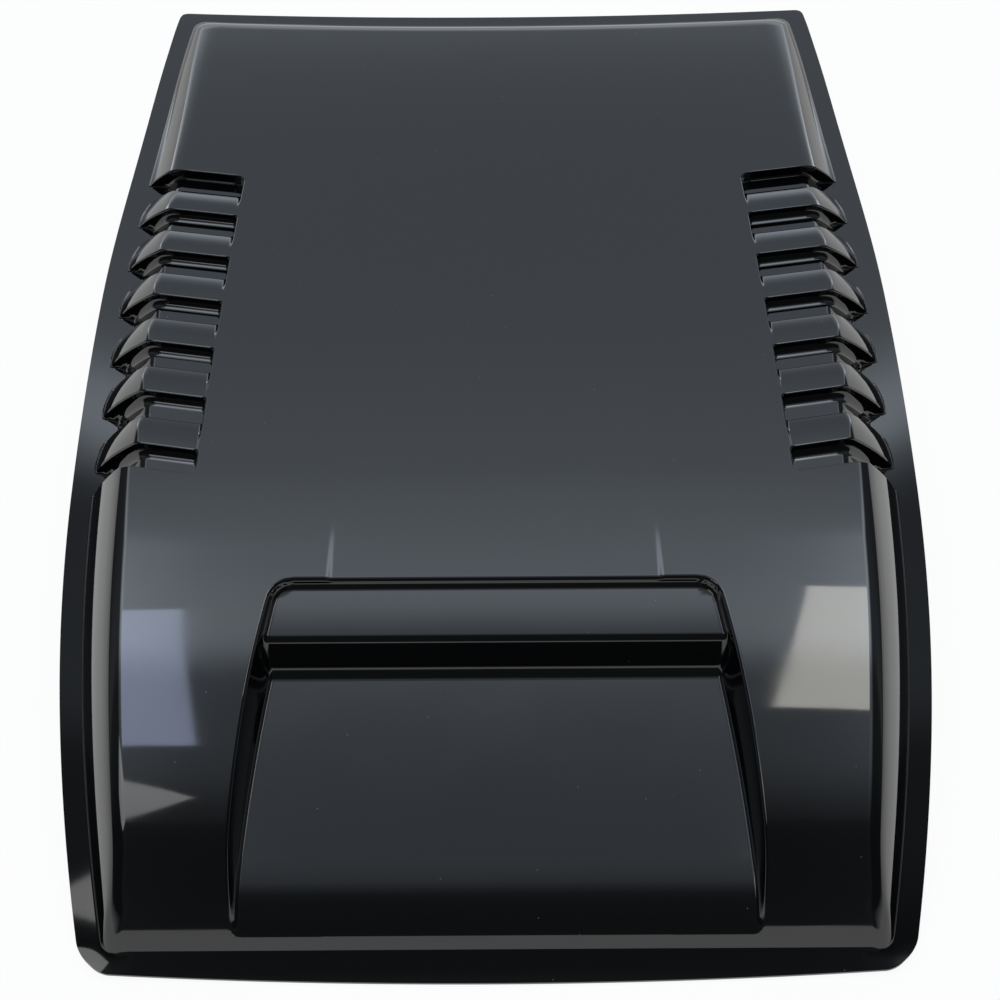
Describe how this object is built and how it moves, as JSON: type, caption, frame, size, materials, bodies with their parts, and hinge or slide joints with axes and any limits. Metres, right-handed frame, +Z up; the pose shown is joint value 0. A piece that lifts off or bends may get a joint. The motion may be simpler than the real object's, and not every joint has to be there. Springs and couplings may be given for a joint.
{
  "type": "bonnet scoop",
  "caption": "Bonnet scoop formed from one sheet: a raised body with swept side louvres, a closed intake recess with lip and ramp, and a curved flange for bonding it down.",
  "frame": {"origin": "middle of the bounding box in plan, at the level on which the flange's front edge and rear corners rest", "axes": "+X across the scoop, +Y along it towards the windscreen end, +Z up; the intake faces -Y"},
  "size_m": [0.712, 1.0501, 0.1238],
  "materials": {
    "black_sheet": "gloss"
  },
  "bodies": {
    "root": {"scoop_moulding": "black_sheet"}
  },
  "joints": []
}
